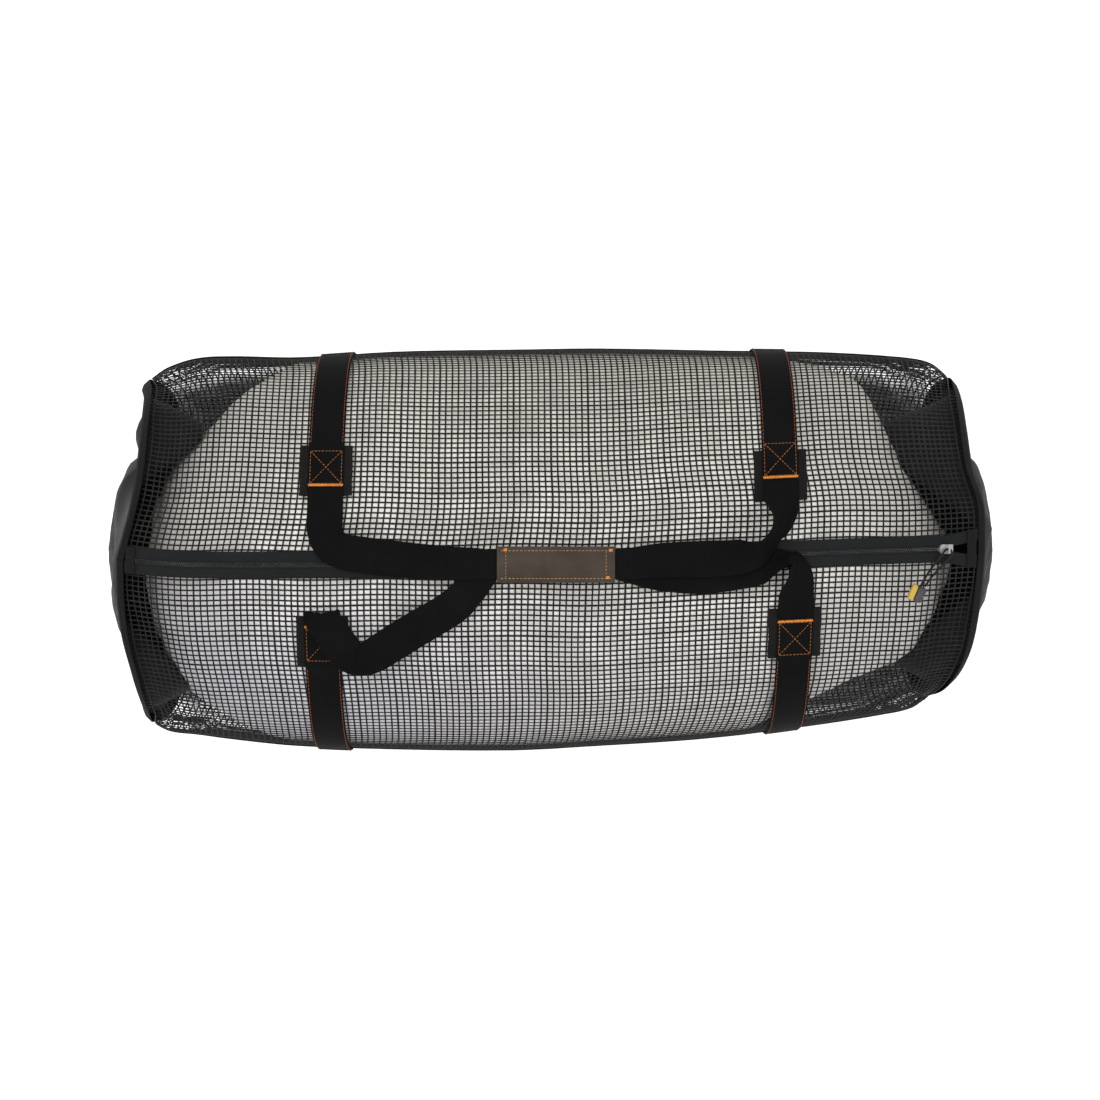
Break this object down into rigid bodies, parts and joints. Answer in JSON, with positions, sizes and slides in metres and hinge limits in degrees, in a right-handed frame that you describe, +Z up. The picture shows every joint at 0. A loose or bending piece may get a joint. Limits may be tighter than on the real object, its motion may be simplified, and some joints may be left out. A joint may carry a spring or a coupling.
{
  "type": "mesh dive gear bag with stuffing",
  "caption": "Long mesh duffel with round coated end panels, a zip along the top, webbing girth straps that run on into two handles in a wrap, shown lying and filled with soft stuffing.",
  "frame": {"origin": "middle of the footprint, on the floor that the bag lies on", "axes": "+Z up, +X along the bag towards the end where the zip's slider is, +Y towards the bag's back side"},
  "size_m": [0.914, 0.4151, 0.3128],
  "materials": {
    "netting": "black coated net of square holes",
    "coated_fabric": "charcoal coated fabric with soft creases",
    "binding": "black woven binding tape",
    "zip_tape": "black woven zip tape",
    "zip_coil": "black nylon coil",
    "slider_metal": "pale grey enamelled slider",
    "cord": "thin black braided cord",
    "toggle": "dark grey moulded toggle",
    "toggle_band": "yellow moulded band",
    "webbing": "black woven webbing with rust edge stitching",
    "patch_fabric": "black woven reinforcing fabric",
    "wrap_fabric": "brown charcoal fabric with tan stitching, bare of lettering",
    "stuffing": "pale soft wrapping of the fill"
  },
  "bodies": {
    "root": {"mesh_top_back": "netting", "mesh_top_front": "netting", "mesh_bottom": "netting", "end_panel_left": "coated_fabric", "end_panel_right": "coated_fabric", "end_binding_left": "binding", "end_binding_right": "binding", "side_binding_back": "binding", "side_binding_front": "binding", "zip_tape_back": "zip_tape", "zip_tape_front": "zip_tape", "zip_coil": "zip_coil", "zip_tab_left": "binding", "zip_tab_right": "binding", "zip_slider": "slider_metal", "pull_cord": "cord", "pull_toggle": "toggle", "toggle_band": "toggle_band", "strap_left": "webbing", "strap_right": "webbing", "patch_back_left": "patch_fabric", "patch_back_right": "patch_fabric", "patch_front_left": "patch_fabric", "patch_front_right": "patch_fabric", "handle_back": "webbing", "handle_front": "webbing", "handle_wrap": "wrap_fabric", "stuffing": "stuffing"}
  },
  "joints": []
}
